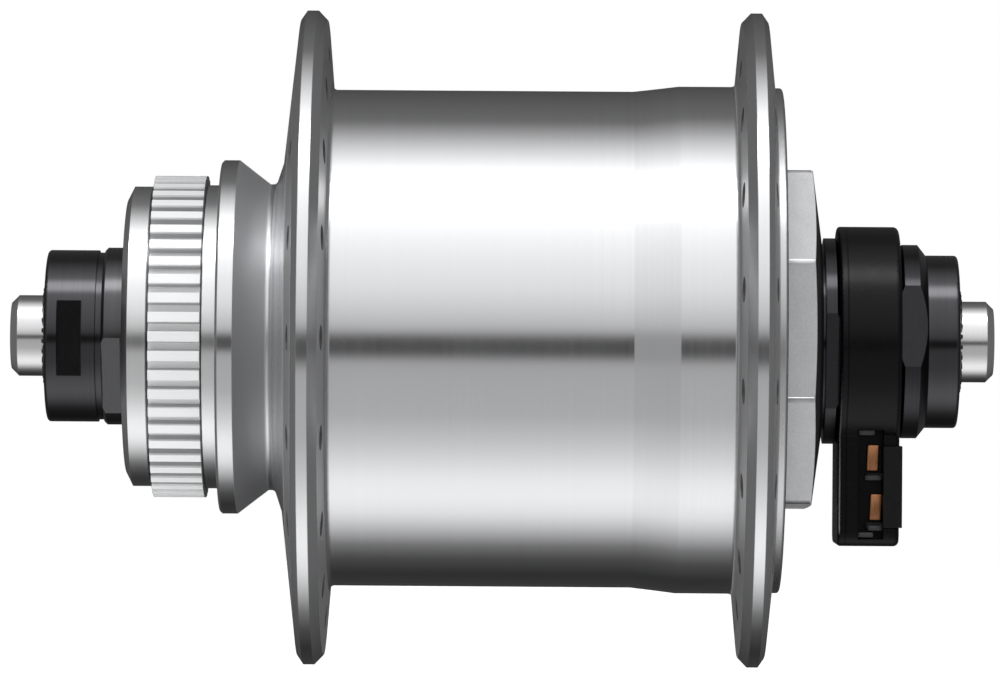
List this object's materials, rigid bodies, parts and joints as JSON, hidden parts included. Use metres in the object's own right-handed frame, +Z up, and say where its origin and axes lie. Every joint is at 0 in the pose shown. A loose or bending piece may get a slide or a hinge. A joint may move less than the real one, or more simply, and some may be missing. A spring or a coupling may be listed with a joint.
{
  "type": "hub dynamo",
  "caption": "Front bicycle wheel hub with a built-in generator: flanged silver shell, splined disc mount, black terminal connector and hollow axle.",
  "frame": {"origin": "on the axle's centre line, midway between the outer faces of the two locknuts", "axes": "+Y along the axle towards the disc side, -Y towards the connector side, +Z up with the connector hanging towards -Z"},
  "size_m": [0.072, 0.108, 0.072],
  "materials": {
    "axle": "turned, bright",
    "left_locknut": "black oxide, satin",
    "left_washer": "black oxide, satin",
    "left_cone": "black oxide, satin",
    "stator_nut": "plain",
    "stator_core": "plain",
    "coil_bobbin": "moulded",
    "coil_winding": "enamelled wire",
    "left_claw_yoke": "pressed",
    "right_claw_yoke": "pressed",
    "lead_wire": "sleeved",
    "right_cone": "black oxide, satin",
    "connector_plate": "moulded, satin",
    "connector_housing": "moulded, satin",
    "terminal_holder": "moulded, satin",
    "upper_terminal": "bare copper",
    "lower_terminal": "bare copper",
    "right_nut": "black oxide, satin",
    "right_locknut": "black oxide, satin",
    "hub_shell": "polished",
    "disc_mount": "machined",
    "end_cap": "satin",
    "end_cap_seal": "moulded",
    "flux_ring": "plain",
    "magnets": "ground",
    "left_bearing_cup": "ground race",
    "right_bearing_cup": "ground race",
    "left_dust_seal": "moulded",
    "right_dust_seal": "moulded",
    "left_balls": "polished",
    "left_ball_cage": "pressed",
    "right_balls": "polished",
    "right_ball_cage": "pressed"
  },
  "bodies": {
    "axle_set": {"axle": "axle", "left_locknut": "left_locknut", "left_washer": "left_washer", "left_cone": "left_cone", "stator_nut": "stator_nut", "stator_core": "stator_core", "coil_bobbin": "coil_bobbin", "coil_winding": "coil_winding", "left_claw_yoke": "left_claw_yoke", "right_claw_yoke": "right_claw_yoke", "lead_wire": "lead_wire", "right_cone": "right_cone", "connector_plate": "connector_plate", "connector_housing": "connector_housing", "terminal_holder": "terminal_holder", "upper_terminal": "upper_terminal", "lower_terminal": "lower_terminal", "right_nut": "right_nut", "right_locknut": "right_locknut"},
    "hub_shell_set": {"hub_shell": "hub_shell", "disc_mount": "disc_mount", "end_cap": "end_cap", "end_cap_seal": "end_cap_seal", "flux_ring": "flux_ring", "magnets": "magnets", "left_bearing_cup": "left_bearing_cup", "right_bearing_cup": "right_bearing_cup", "left_dust_seal": "left_dust_seal", "right_dust_seal": "right_dust_seal"},
    "left_ball_set": {"left_balls": "left_balls", "left_ball_cage": "left_ball_cage"},
    "right_ball_set": {"right_balls": "right_balls", "right_ball_cage": "right_ball_cage"}
  },
  "joints": [
    {"name": "hub_spin", "type": "hinge", "parent": "axle_set", "child": "hub_shell_set", "pos_m": [0, 0, 0], "axis": [0, 1, 0], "continuous": true},
    {"name": "left_ball_roll", "type": "hinge", "parent": "axle_set", "child": "left_ball_set", "pos_m": [0, 0.0325, 0], "axis": [0, 1, 0], "continuous": true},
    {"name": "right_ball_roll", "type": "hinge", "parent": "axle_set", "child": "right_ball_set", "pos_m": [0, -0.0312, 0], "axis": [0, 1, 0], "continuous": true}
  ],
  "couplings": [
    {"joint": "left_ball_roll", "follows": "hub_spin", "ratio": 0.5825},
    {"joint": "right_ball_roll", "follows": "hub_spin", "ratio": 0.5825}
  ]
}
